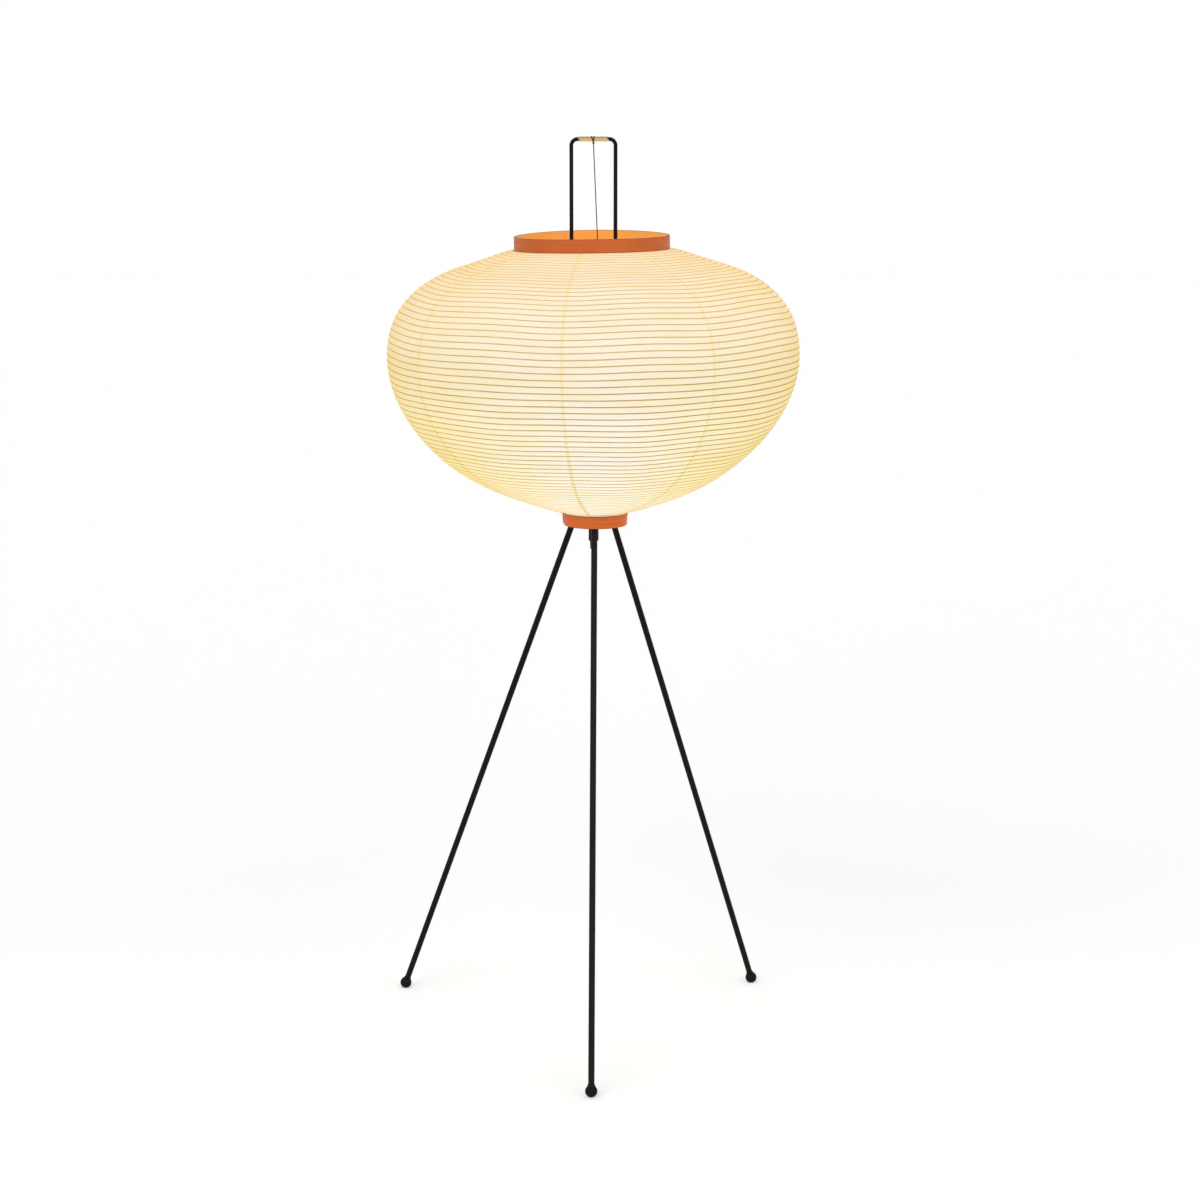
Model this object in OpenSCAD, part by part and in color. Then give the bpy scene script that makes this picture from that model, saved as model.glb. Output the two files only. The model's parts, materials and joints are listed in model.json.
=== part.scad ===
// Paper lantern floor lamp: a ribbed paper shade stretched over a wire frame on three thin legs.
// Millimetres, +Z up. The origin is on the floor under the axis of the shade.
// The front leg points to -Y, and +X is to the right of someone who looks at that leg.

/* [Stand] */
// Height of the hub plate's underside above the floor
hub_z = 696; // [640:4:760]
// Thickness of the hub plate
hub_t = 3; // [2:0.5:5]
// Diameter of a leg rod
leg_d = 8; // [6:0.5:9]
// Radius of the circle on which the leg axes meet the hub plate
leg_circle_r = 25; // [23.5:0.5:27]
// Radius of the circle on which the feet stand
foot_circle_r = 280; // [220:5:330]
// How far the circle of the feet lies to the left of the shade's axis
stance_left = 15; // [0:1:20]
// How far the circle of the feet lies behind the shade's axis
stance_back = 12; // [0:1:15]
// Turn of the front leg to the right of straight ahead, in degrees
leg_turn = 2.4; // [0:0.2:6]
// Diameter of a ball foot
foot_d = 15.6; // [13:0.1:18]
// Diameter of the flat worn under a ball foot
foot_flat_d = 5; // [3:0.5:7]
// Diameter of a leg's threaded end
stud_d = 5; // [4:0.5:6]
// Length of a leg's threaded end in its socket
stud_len = 10; // [8:1:12]
// Wall of a leg socket around the threaded end
leg_socket_wall = 2.4; // [1.6:0.2:3]

/* [Lamp holder] */
// Outside diameter of the threaded tube that runs through the hub
nipple_d = 10; // [9:0.5:11]
// Bore of the threaded tube
nipple_bore = 7; // [5:0.5:7.5]
// Gap between the top of the hub plate and the lamp holder
holder_lift = 17; // [12:1:24]
// Outside diameter of the lamp holder
holder_d = 40; // [38:1:44]
// Wall of the lamp holder's two shells
holder_wall = 1.2; // [1:0.2:2]
// Height of the holder's lower shell
cap_h = 24; // [20:1:28]
// Height of the holder's upper shell
shell_h = 36; // [32:1:40]
// Thickness of the insulator inside the holder
insulator_t = 10; // [8:1:11]
// Height of the nuts on the threaded tube
nut_h = 4; // [3:0.5:5]
// Distance across the flats of those nuts
nut_flats = 14; // [13:0.5:16]
// Outside diameter of the cord gland's nut
gland_nut_d = 13.1; // [12.5:0.1:15]
// Length of the cord gland's nut
gland_nut_h = 23; // [18:1:26]
// Length of the gland's tail below its nut
gland_tail_h = 11; // [8:1:20]
// Outside diameter of that tail
gland_tail_d = 10; // [9:0.2:11]
// Bore through the gland for the cord
gland_bore = 6; // [4:0.5:6.5]

/* [Bulb] */
// Diameter of the bulb's glass
bulb_d = 45; // [42:1:60]
// Length of the bulb from its contact to its crown
bulb_len = 78; // [74:1:95]
// Diameter of the bulb's screw base
base_d = 26; // [26:0.1:26.4]
// Clear gap between the bulb and each wire of the frame
bulb_clear = 3; // [2:0.5:8]

/* [Wire frame and handle] */
// Diameter of the frame's wire
wire_d = 5; // [4:0.5:6]
// Height of the handle's bar above the top edge of the upper ring
handle_rise = 120; // [80:5:160]
// Bend radius of the handle's two corners, to the middle of the wire
handle_bend_r = 8; // [6:1:12]
// Bare wire between an end of the cane and the start of the bend
cane_margin = 0.6; // [0.4:0.2:8]
// Thickness of the cane strip
cane_t = 0.9; // [0.6:0.1:1.4]
// Width of one turn of the cane strip
cane_pitch = 1.6; // [1.2:0.2:3]
// Height of a frame socket above the hub plate
frame_socket_h = 16; // [12:1:20]
// Wall of a frame socket around the wire
frame_socket_wall = 2.4; // [1.6:0.2:3]
// Diameter of the thin wire that holds the upper ring up
hanger_d = 1.2; // [1:0.1:1.6]

/* [Shade] */
// Largest diameter of the paper shade
shade_d = 530; // [460:10:620]
// Height from the lower ring to the widest place
bowl_h = 200; // [160:5:240]
// Height from the widest place to the upper ring
crown_h = 139; // [110:1:170]
// Fullness of the shade's outline below the widest place
bowl_n = 1.87; // [1.7:0.01:2.3]
// Fullness of the shade's outline above the widest place
crown_n = 2.4; // [2:0.05:2.8]
// Thickness of the paper
paper_t = 0.4; // [0.3:0.1:0.8]
// Width of the paper's edge that is glued to a ring
paper_lip = 2; // [1:0.5:2.5]
// Width of a split bamboo rib along the paper
rib_w = 1.2; // [0.8:0.1:2]
// Thickness of a split bamboo rib
rib_t = 1.1; // [0.8:0.1:2]
// Number of turns of bamboo between the rings
rib_count = 68; // [40:1:80]
// Outside diameter of the upper ring
upper_ring_d = 199; // [160:1:230]
// Height of the upper ring
upper_ring_h = 17; // [12:1:24]
// Height of the lower ring
lower_ring_h = 18; // [16:1:24]
// Thickness of the bent wood of both rings
ring_t = 3; // [2.5:0.5:4]
// Diameter of the wires that cross the rings
cross_wire_d = 2.5; // [2:0.1:3]
// How far the upper cross wire lies to the right of the shade's axis
cross_wire_x = 3; // [0:0.5:5]
// Distance between the two lower cross wires
lower_wire_gap = 24; // [22:1:26]
// Gap between the frame's plate and the inside of the lower ring
ring_play = 5; // [4:0.5:8]

/* [Hidden] */

$fn = 96;
tiny = 0.01;        // overlap of unions and reach of cuts past a face
fit = 0.1;          // radial clearance of a screwed or plugged joint
seat = 0.2;         // gap between pieces that only rest on each other
play = 0.3;         // gap around a piece that turns or is threaded through

// Colours
black = [0.06, 0.055, 0.05];
dark_steel = [0.25, 0.25, 0.26];
bright_steel = [0.75, 0.76, 0.78];
brass = [0.8, 0.62, 0.3];
bakelite = [0.09, 0.08, 0.075];
porcelain = [0.9, 0.89, 0.85];
rubber = [0.07, 0.07, 0.07];
straw = [0.86, 0.74, 0.5];
terracotta = [0.8, 0.38, 0.19];
bamboo = [0.8, 0.68, 0.42];
paper = [0.98, 0.93, 0.8, 0.9];
frosted = [0.97, 0.96, 0.92, 0.9];

// Legs and feet. Leg 0 is the front one, 1 the right one and 2 the left one.
leg_count = 3;
foot_r = foot_d / 2;
foot_z = sqrt(pow(foot_r, 2) - pow(foot_flat_d / 2, 2));
leg_socket_r = stud_d / 2 + leg_socket_wall;
stud_start = 3;                               // from the plate to the threaded end, along the leg
shoulder = stud_start + stud_len;             // from the plate to the leg's shoulder
foot_neck_h = 0.6;                            // how far a foot's neck stands out of its ball
foot_neck_r = leg_d / 2 + 0.7;
foot_neck_low_r = foot_neck_r + 0.6;          // the neck is wider where it leaves the ball
foot_neck_sink = 0.4;                         // how deep the neck starts inside the ball
foot_neck_z = sqrt(pow(foot_r, 2) - pow(foot_neck_low_r, 2)) - foot_neck_sink;
function leg_angle(k) = leg_turn + k * 360 / leg_count;
function leg_top(k) =
  [leg_circle_r * sin(leg_angle(k)), -leg_circle_r * cos(leg_angle(k)), hub_z];
function foot_mid(k) = [
  foot_circle_r * sin(leg_angle(k)) - stance_left,
  stance_back - foot_circle_r * cos(leg_angle(k)),
  foot_z
];

// Wire frame. Its two wires stand clear of the bulb and of the holder.
wire_r = wire_d / 2;
frame_x = max(bulb_d, holder_d) / 2 + bulb_clear + wire_r;
frame_socket_r = wire_r + frame_socket_wall;
frame_socket_floor = 1.5;
hub_top = hub_z + hub_t;

// The hub plate carries the frame sockets, and the lower ring goes around it.
hub_margin = 2.1;
hub_r = frame_x + frame_socket_r + hub_margin;

// Rings. The lower ring hangs by its cross wires under the hub plate.
cross_wire_r = cross_wire_d / 2;
lower_ring_r = hub_r + ring_play + ring_t;
lower_wire_z = hub_z - seat - cross_wire_r;
lower_wire_drop = 5.45;                       // from the ring's upper edge down to the wires
lower_ring_top = lower_wire_z + lower_wire_drop;
upper_ring_r = upper_ring_d / 2;
shade_mid_z = lower_ring_top + bowl_h;
upper_ring_z = shade_mid_z + crown_h;
upper_wire_z = upper_ring_z + upper_ring_h / 2;
wire_bite = 2;                                // how deep a cross wire sits in its ring

// Outline of the shade: a superellipse below the widest place and another one above it.
shade_r = shade_d / 2;
function reach(ring_r, n) = pow(1 - pow(ring_r / shade_r, n), 1 / n);
bowl_b = bowl_h / reach(lower_ring_r, bowl_n);
crown_b = crown_h / reach(upper_ring_r, crown_n);
function turn_at(ring_r, n) = acos(pow(ring_r / shade_r, n / 2));
outline_steps = 90;
outline = concat(
  [for (i = [outline_steps:-1:1])
    let (a = turn_at(lower_ring_r, bowl_n) * i / outline_steps)
    [shade_r * pow(cos(a), 2 / bowl_n), shade_mid_z - bowl_b * pow(sin(a), 2 / bowl_n)]],
  [for (i = [0:outline_steps])
    let (a = turn_at(upper_ring_r, crown_n) * i / outline_steps)
    [shade_r * pow(cos(a), 2 / crown_n), shade_mid_z + crown_b * pow(sin(a), 2 / crown_n)]]
);
run = [for (i = 0, s = 0; i < len(outline);
  i = i + 1, s = s + (i < len(outline) ? norm(outline[i] - outline[i - 1]) : 0)) s];
r_by_run = [for (i = [0:len(outline) - 1]) [run[i], outline[i][0]]];
z_by_run = [for (i = [0:len(outline) - 1]) [run[i], outline[i][1]]];
rib_step = run[len(run) - 1] / (rib_count + 1);
function on_outline(s) = [lookup(s, r_by_run), lookup(s, z_by_run)];
function inward(s) =
  let (d = on_outline(s + tiny) - on_outline(s - tiny)) [-d[1], d[0]] / norm(d);
function skin(k, depth) = on_outline(k * rib_step) + depth * inward(k * rib_step);
rib_depth = paper_t + play + rib_t / 2;

// The shade is glued together from equal gores. The first seam is seam_turn left of the front.
gore_count = 8;
gore_angle = 360 / gore_count;
seam_turn = 9;

// Lamp holder and bulb, stacked upwards from the hub.
holder_z = hub_top + holder_lift;
holder_r = holder_d / 2;
insulator_sink = 3;                           // depth of the insulator below the cap's rim
insulator_z = holder_z + cap_h - insulator_sink;
shell_z = holder_z + cap_h + seat;
cap_neck_r = 8;                               // the cap's neck around the threaded tube
cap_neck_h = 4;
cap_cone_h = 12;                              // height at which the cap reaches its full width
cap_floor_t = 1.6;
ledge = 1.6;                                  // width of the cap's ledge under the insulator
contact_h = 2.3;
contact_r = 3;
contact_plate_r = 5;
contact_plate_t = 0.8;
bulb_z = insulator_z + insulator_t + contact_h + seat;
bulb_r = bulb_d / 2;
glass_z = bulb_z + bulb_len - bulb_r;
glass_t = 0.8;
base_r = base_d / 2;
base_h = 22;                                  // threaded length of the bulb's base
button_h = 3;                                 // height of the black insulator under the base
button_r = 5.5;
tip_h = 0.8;                                  // the contact under that insulator
tip_r = 4.5;
base_z = bulb_z + tip_h + button_h;
neck_r = base_r - 1.5;
sleeve_t = 0.6;
sleeve_r = base_r + play;                     // inside radius of the holder's screw sleeve
collar_h = 3;                                 // the insulator's collar around the sleeve
collar_t = 1.8;
screw_x = 9;
screw_r = 1.5;
screw_head_r = 2.8;
screw_head_h = 2;

// Threaded tube and cord gland. The gland's nut starts inside the lower ring.
nipple_r = nipple_d / 2;
nipple_top = holder_z + cap_neck_h;
gland_hidden = 8;                             // room between the lower nut and the gland
gland_z = hub_z - nut_h - seat - gland_hidden;
gland_mouth_z = gland_z - gland_nut_h;
gland_floor = 3.2;                            // thickness of the gland nut's floor
gland_flange_h = 2.4;
ridge_h = 0.6;                                // how far the ridges stand out of the gland's tail
gland_neck_r = gland_tail_d / 2 - ridge_h;
nipple_z = gland_mouth_z + gland_floor + gland_flange_h + 2 * seat;
washer_t = 1;

// Handle, cane and hanger wire
handle_z = upper_ring_z + upper_ring_h + handle_rise;
cane_in_r = wire_r + fit;
bar_half = frame_x - handle_bend_r;            // straight half of the handle's bar
cane_turns = floor(2 * (bar_half - cane_margin) / cane_pitch);
cane_steps = 4;                               // outline points for each turn of cane
hanger_r = hanger_d / 2;
eye_r = cane_in_r + cane_t + play + hanger_r;
eye_x = 0.5;                                  // where the hanger's eye sits on the cane
hook_gap = 0.6;                               // room beside the cross wire inside the hook
hook_r = cross_wire_r + hook_gap + hanger_r;
hook_z = upper_wire_z + hook_gap - play;      // leaves a gap of play under the cross wire
hook_tip_h = 2;
twist_h = 6;                                  // the hanger's end wound around its own shank

// Puts its children at p, with +Z pointing to q
module along(p, q) {
  v = q - p;
  translate(p) rotate([0, acos(v[2] / norm(v)), atan2(v[1], v[0])]) children();
}

module tube(outer_r, inner_r, h) {
  difference() {
    cylinder(r = outer_r, h = h);
    translate([0, 0, -1]) cylinder(r = inner_r, h = h + 2);
  }
}

module hex_nut() {
  difference() {
    cylinder(d = nut_flats / cos(30), h = nut_h, $fn = 6);
    translate([0, 0, -1]) cylinder(r = nipple_r + fit, h = nut_h + 2);
  }
}

// ---- Stand ----

module hub_plate() {
  color(black) translate([0, 0, hub_z]) tube(hub_r, nipple_r + seat, hub_t);
}

module leg_socket(k) {
  color(black) difference() {
    along(leg_top(k), foot_mid(k)) difference() {
      translate([0, 0, -leg_socket_r]) cylinder(r = leg_socket_r, h = shoulder + leg_socket_r);
      translate([0, 0, stud_start - play]) cylinder(r = stud_d / 2 + fit, h = stud_len + 1);
    }
    translate([-hub_r, -hub_r, hub_z]) cube([2 * hub_r, 2 * hub_r, hub_r]);
  }
}

module leg(k) {
  length = norm(foot_mid(k) - leg_top(k));
  color(black) along(leg_top(k), foot_mid(k)) {
    translate([0, 0, stud_start]) cylinder(r = stud_d / 2, h = stud_len + tiny);
    translate([0, 0, shoulder]) cylinder(r = leg_d / 2, h = length - shoulder);
  }
}

module foot(k) {
  color(rubber) difference() {
    translate(foot_mid(k)) sphere(r = foot_r);
    along(foot_mid(k), leg_top(k))
      translate([0, 0, -seat]) cylinder(r = leg_d / 2 + fit, h = foot_d);
    translate(foot_mid(k) - [foot_d, foot_d, foot_d + foot_z])
      cube([2 * foot_d, 2 * foot_d, foot_d]);
  }
  color(rubber) along(foot_mid(k), leg_top(k))
    translate([0, 0, foot_neck_z]) difference() {
      cylinder(r1 = foot_neck_low_r, r2 = foot_neck_r, h = foot_r + foot_neck_h - foot_neck_z);
      translate([0, 0, -1]) cylinder(r = leg_d / 2 + fit, h = foot_r + foot_neck_h);
    }
}

// ---- Lamp holder ----

module threaded_nipple() {
  color(bright_steel) translate([0, 0, nipple_z])
    tube(nipple_r, nipple_bore / 2, nipple_top - nipple_z);
}

module nipple_nut_lower() {
  color(bright_steel) translate([0, 0, hub_z - nut_h]) hex_nut();
}

module lock_washer() {
  color(bright_steel) translate([0, 0, hub_top]) tube(nut_flats / 2 + 1, nipple_r + seat, washer_t);
}

module nipple_nut_upper() {
  color(bright_steel) translate([0, 0, hub_top + washer_t]) hex_nut();
}

module gland_nut() {
  flutes = 20;
  flute_r = 0.7;
  color(bakelite) translate([0, 0, gland_mouth_z]) difference() {
    cylinder(d = gland_nut_d, h = gland_nut_h);
    translate([0, 0, gland_floor]) cylinder(r = nipple_r + fit, h = gland_nut_h);
    translate([0, 0, -1]) cylinder(r = gland_neck_r + fit, h = gland_floor + 2);
    for (i = [0:flutes - 1]) rotate(i * 360 / flutes)
      translate([gland_nut_d / 2 + flute_r / 2, 0, -1])
        cylinder(r = flute_r, h = gland_nut_h / 2, $fn = 24);
  }
}

module cord_gland() {
  ridges = 4;
  step = gland_tail_h / (2 * ridges + 1);
  color(rubber) translate([0, 0, gland_mouth_z]) difference() {
    union() {
      translate([0, 0, gland_floor + seat]) cylinder(r = nipple_r - fit, h = gland_flange_h);
      translate([0, 0, -seat]) cylinder(r = gland_neck_r, h = gland_floor + seat + 1);
      translate([0, 0, -gland_tail_h])
        cylinder(r1 = gland_neck_r - 0.5, r2 = gland_neck_r, h = gland_tail_h);
      for (i = [0:ridges]) translate([0, 0, -gland_tail_h + 2 * i * step - (i == ridges ? seat : 0)])
        cylinder(r = gland_tail_d / 2 - 0.1 * (ridges - i), h = step);
    }
    translate([0, 0, -gland_tail_h - 1])
      cylinder(r = gland_bore / 2, h = gland_tail_h + gland_nut_h);
  }
}

module holder_cap() {
  inner = holder_r - holder_wall;
  ledge_h = cap_h - insulator_sink - seat;
  floor_h = cap_neck_h + cap_floor_t;
  color(bakelite) translate([0, 0, holder_z]) rotate_extrude() polygon([
    [nipple_r + fit, 0], [cap_neck_r, 0], [cap_neck_r, cap_neck_h], [holder_r, cap_cone_h],
    [holder_r, cap_h], [inner, cap_h], [inner, ledge_h], [inner - ledge, ledge_h],
    [inner - ledge, cap_cone_h + 0.5], [cap_neck_r - 1, floor_h], [nipple_r + fit, floor_h]
  ]);
}

module holder_shell() {
  inner = holder_r - holder_wall;
  lip_r = sleeve_r + sleeve_t + 1.3;
  bevel = 1.5;
  color(bakelite) translate([0, 0, shell_z]) rotate_extrude() polygon([
    [inner, 0], [holder_r, 0], [holder_r, shell_h - bevel], [holder_r - bevel, shell_h],
    [lip_r, shell_h], [lip_r, shell_h - holder_wall], [inner, shell_h - holder_wall - 0.5]
  ]);
}

module holder_insulator() {
  body_r = holder_r - holder_wall - seat;
  collar_in_r = sleeve_r + sleeve_t + seat;
  color(porcelain) translate([0, 0, insulator_z]) difference() {
    union() {
      cylinder(r = body_r, h = insulator_t);
      translate([0, 0, insulator_t - tiny])
        tube(collar_in_r + collar_t, collar_in_r, collar_h);
    }
    for (side = [-1, 1]) translate([side * screw_x, 0, -1])
      cylinder(r = screw_r + fit, h = 1 + insulator_t / 2);
  }
}

module holder_screw_sleeve() {
  color(brass) translate([0, 0, insulator_z + insulator_t])
    tube(sleeve_r + sleeve_t, sleeve_r, shell_h - insulator_t);
}

module holder_contact() {
  color(brass) translate([0, 0, insulator_z + insulator_t]) {
    cylinder(r = contact_plate_r, h = contact_plate_t);
    cylinder(r = contact_r, h = contact_h);
  }
}

module terminal_screws() {
  color(bright_steel) for (side = [-1, 1]) translate([side * screw_x, 0, insulator_z]) {
    translate([0, 0, -screw_head_h]) cylinder(r = screw_head_r, h = screw_head_h);
    translate([0, 0, -tiny]) cylinder(r = screw_r, h = insulator_t / 2 - 1);
  }
}

// ---- Bulb ----

module bulb_glass() {
  neck_h = glass_z - base_z - base_h / 2;
  color(frosted) difference() {
    union() {
      translate([0, 0, glass_z]) sphere(r = bulb_r);
      translate([0, 0, glass_z - neck_h]) cylinder(r = neck_r, h = neck_h);
    }
    translate([0, 0, glass_z]) sphere(r = bulb_r - glass_t);
    translate([0, 0, glass_z - neck_h - 1]) cylinder(r = neck_r - glass_t, h = neck_h + 1);
  }
}

module bulb_base() {
  threads = 6;
  thread_r = 0.8;
  pitch = base_h / threads;
  inner = neck_r + fit;
  steps = 6;
  outer = [for (i = [0:threads * steps])
    [base_r - thread_r * (1 - cos(i * 360 / steps)) / 2, i * pitch / steps]];
  color(brass) translate([0, 0, base_z])
    rotate_extrude() polygon(concat([[inner, 0]], outer, [[inner, base_h]]));
}

module bulb_insulator() {
  color(bakelite) translate([0, 0, base_z - button_h])
    cylinder(r1 = button_r, r2 = base_r - 1, h = button_h);
}

module bulb_contact() {
  color(bright_steel) translate([0, 0, bulb_z])
    cylinder(r = tip_r, h = tip_h);
}

// ---- Wire frame and handle ----

module frame_socket(side) {
  color(black) translate([side * frame_x, 0, hub_top]) difference() {
    cylinder(r = frame_socket_r, h = frame_socket_h);
    translate([0, 0, frame_socket_floor]) cylinder(r = wire_r + fit, h = frame_socket_h);
  }
}

module stretcher_frame() {
  foot_end = hub_top + frame_socket_floor + seat;
  corner_z = handle_z - handle_bend_r;
  color(black) {
    for (side = [-1, 1]) translate([side * frame_x, 0, foot_end])
      cylinder(r = wire_r, h = corner_z - foot_end);
    for (side = [0, 1]) mirror([side, 0, 0]) translate([bar_half, 0, corner_z])
      rotate([90, 0, 0]) rotate_extrude(angle = 90) translate([handle_bend_r, 0]) circle(r = wire_r);
    translate([-bar_half, 0, handle_z]) rotate([0, 90, 0]) cylinder(r = wire_r, h = 2 * bar_half);
  }
}

module cane_wrap() {
  edge = 0.35;                                // how far a turn is rounded off at its sides
  outer = [for (i = [0:cane_turns * cane_steps])
    [cane_in_r + cane_t - edge * pow(cos(i * 180 / cane_steps), 2), i * cane_pitch / cane_steps]];
  length = cane_turns * cane_pitch;
  color(straw) translate([-length / 2, 0, handle_z]) rotate([0, 90, 0])
    rotate_extrude() polygon(concat([[cane_in_r, 0]], outer, [[cane_in_r, length]]));
}

module hanger_wire() {
  shank_top = [eye_x, 0, handle_z - eye_r];
  shank_end = [cross_wire_x + hook_r, 0, hook_z];
  color(dark_steel) {
    translate([eye_x, 0, handle_z]) rotate([0, 90, 0]) rotate_extrude()
      translate([eye_r, 0]) circle(r = hanger_r, $fn = 24);
    along(shank_top, shank_end) {
      cylinder(r = hanger_r, h = norm(shank_end - shank_top), $fn = 24);
      translate([0, 0, hanger_r]) cylinder(r = 2 * hanger_r, h = twist_h, $fn = 24);
    }
    translate([cross_wire_x, 0, hook_z]) {
      rotate([90, 0, 0]) rotate([0, 0, 180])
        rotate_extrude(angle = 180) translate([hook_r, 0]) circle(r = hanger_r, $fn = 24);
      for (side = [-1, 1]) translate([side * hook_r, 0, 0]) sphere(r = hanger_r + fit, $fn = 24);
      translate([-hook_r, 0, 0]) cylinder(r = hanger_r, h = hook_tip_h, $fn = 24);
    }
  }
}

// ---- Shade ----

// A ring of bent wood with a blind hole for each end of the wires that cross it along Y
module ring(outer_r, h, wire_z, wire_xs) {
  difference() {
    tube(outer_r, outer_r - ring_t, h);
    for (x = wire_xs) translate([x, 0, wire_z]) rotate([90, 0, 0])
      cylinder(r = cross_wire_r + fit, h = 2 * wire_reach(outer_r, x), center = true);
  }
}

// Half the length of a wire that crosses a ring at x and sits wire_bite deep in its wall
function wire_reach(outer_r, x) = sqrt(pow(outer_r - ring_t, 2) - pow(x, 2)) + wire_bite;

module cross_wire(outer_r, x) {
  rotate([90, 0, 0])
    cylinder(r = cross_wire_r, h = 2 * (wire_reach(outer_r, x) - seat), center = true);
}

module upper_ring() {
  color(terracotta) translate([0, 0, upper_ring_z])
    ring(upper_ring_r, upper_ring_h, upper_wire_z - upper_ring_z, [cross_wire_x]);
}

module upper_cross_wire() {
  color(dark_steel) translate([cross_wire_x, 0, upper_wire_z])
    cross_wire(upper_ring_r, cross_wire_x);
}

module lower_ring() {
  color(terracotta) translate([0, 0, lower_ring_top - lower_ring_h])
    ring(lower_ring_r, lower_ring_h, lower_ring_h - lower_wire_drop,
      [-lower_wire_gap / 2, lower_wire_gap / 2]);
}

module lower_cross_wires() {
  color(dark_steel) for (side = [-1, 1])
    translate([side * lower_wire_gap / 2, 0, lower_wire_z])
      cross_wire(lower_ring_r, lower_wire_gap / 2);
}

module bamboo_ribs() {
  color(bamboo) for (k = [1:rib_count]) let (n = inward(k * rib_step))
    rotate_extrude() translate(skin(k, rib_depth))
      rotate(atan2(n[1], n[0])) square([rib_t, rib_w], center = true);
}

// One gore of paper. Its outline has a corner at every rib, and its ends are glued flat to the rings.
module paper_gore(i) {
  last = rib_count + 1;
  foot_edge = lower_ring_top;
  head_edge = upper_ring_z;
  outside = [for (k = [0:last]) skin(k, 0)];
  inside = [for (k = [rib_count:-1:1]) skin(k, paper_t)];
  color(paper) rotate([0, 0, -90 - seam_turn + (i - 1) * gore_angle])
    rotate_extrude(angle = gore_angle) polygon(concat(
      [[lower_ring_r - paper_lip, foot_edge]], outside,
      [[upper_ring_r - paper_lip, head_edge], [upper_ring_r - paper_lip, head_edge - paper_t],
        [upper_ring_r, head_edge - paper_t]],
      inside,
      [[lower_ring_r, foot_edge + paper_t], [lower_ring_r - paper_lip, foot_edge + paper_t]]
    ));
}

hub_plate();
leg_socket(0);  // leg_socket_front
leg_socket(1);  // leg_socket_right
leg_socket(2);  // leg_socket_left
leg(0);  // leg_front
leg(1);  // leg_right
leg(2);  // leg_left
foot(0);  // foot_front
foot(1);  // foot_right
foot(2);  // foot_left
threaded_nipple();
nipple_nut_lower();
nipple_nut_upper();
lock_washer();
gland_nut();
cord_gland();
holder_cap();
holder_shell();
holder_insulator();
holder_screw_sleeve();
holder_contact();
terminal_screws();
bulb_glass();
bulb_base();
bulb_insulator();
bulb_contact();
frame_socket(-1);  // frame_socket_left
frame_socket(1);  // frame_socket_right
stretcher_frame();
cane_wrap();
hanger_wire();
upper_ring();
upper_cross_wire();
lower_ring();
lower_cross_wires();
bamboo_ribs();
paper_gore(1);  // paper_gore_1
paper_gore(2);  // paper_gore_2
paper_gore(3);  // paper_gore_3
paper_gore(4);  // paper_gore_4
paper_gore(5);  // paper_gore_5
paper_gore(6);  // paper_gore_6
paper_gore(7);  // paper_gore_7
paper_gore(8);  // paper_gore_8
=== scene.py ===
"""Looks of the paper lantern floor lamp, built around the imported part. Metres, +Z up.

+X is the lamp's right and -Y its front, as the camera sees them. An azimuth is counted from +X,
counter-clockwise seen from above."""

import json
import math

import bpy
import numpy as np
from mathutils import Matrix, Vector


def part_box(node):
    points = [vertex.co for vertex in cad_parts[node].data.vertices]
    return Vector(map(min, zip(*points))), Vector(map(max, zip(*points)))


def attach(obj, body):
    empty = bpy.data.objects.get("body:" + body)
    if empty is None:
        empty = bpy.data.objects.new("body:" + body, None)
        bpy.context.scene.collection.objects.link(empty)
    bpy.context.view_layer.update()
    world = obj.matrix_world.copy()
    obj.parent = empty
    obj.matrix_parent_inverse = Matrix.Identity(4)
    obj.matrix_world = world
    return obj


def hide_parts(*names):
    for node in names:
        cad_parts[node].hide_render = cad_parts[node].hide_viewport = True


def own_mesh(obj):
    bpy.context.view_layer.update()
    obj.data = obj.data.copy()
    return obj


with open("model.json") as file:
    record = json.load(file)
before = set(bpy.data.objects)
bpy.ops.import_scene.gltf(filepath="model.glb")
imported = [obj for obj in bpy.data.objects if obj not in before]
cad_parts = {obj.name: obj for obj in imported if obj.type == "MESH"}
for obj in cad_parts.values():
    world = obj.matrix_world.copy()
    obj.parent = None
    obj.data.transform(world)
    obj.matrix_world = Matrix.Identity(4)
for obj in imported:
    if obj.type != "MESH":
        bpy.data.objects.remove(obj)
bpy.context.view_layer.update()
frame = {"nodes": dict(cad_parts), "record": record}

MM = 0.001
TURN = 2 * math.pi

# ---- Sizes that the frame gives ----

LOWER_LOW, LOWER_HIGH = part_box("lower_ring")
UPPER_LOW, UPPER_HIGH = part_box("upper_ring")
LOWER_R = (LOWER_HIGH.x - LOWER_LOW.x) / 2
UPPER_R = (UPPER_HIGH.x - UPPER_LOW.x) / 2
GORE_COUNT = 8
GORES = [f"paper_gore_{i + 1}" for i in range(GORE_COUNT)]
SHADE_R = max(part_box(name)[1].x for name in GORES)
SHADE_LOW_Z = LOWER_HIGH.z
SHADE_TOP_Z = UPPER_LOW.z
SHADE_H = SHADE_TOP_Z - SHADE_LOW_Z
FRAME_LOW, FRAME_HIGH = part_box("stretcher_frame")
WIRE_R = (FRAME_HIGH.y - FRAME_LOW.y) / 2
BAR_Z = FRAME_HIGH.z - WIRE_R
CANE_LOW, CANE_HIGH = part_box("cane_wrap")
CROSS_LOW, CROSS_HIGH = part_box("upper_cross_wire")
CROSS_X = (CROSS_LOW.x + CROSS_HIGH.x) / 2
CROSS_R = (CROSS_HIGH.x - CROSS_LOW.x) / 2
CROSS_RISE = 2.6 * MM        # low in the ring, where the photo's rim hides the wire
CROSS_Z = UPPER_LOW.z + CROSS_RISE

# ---- Sizes of the shade that only its look needs ----

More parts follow.
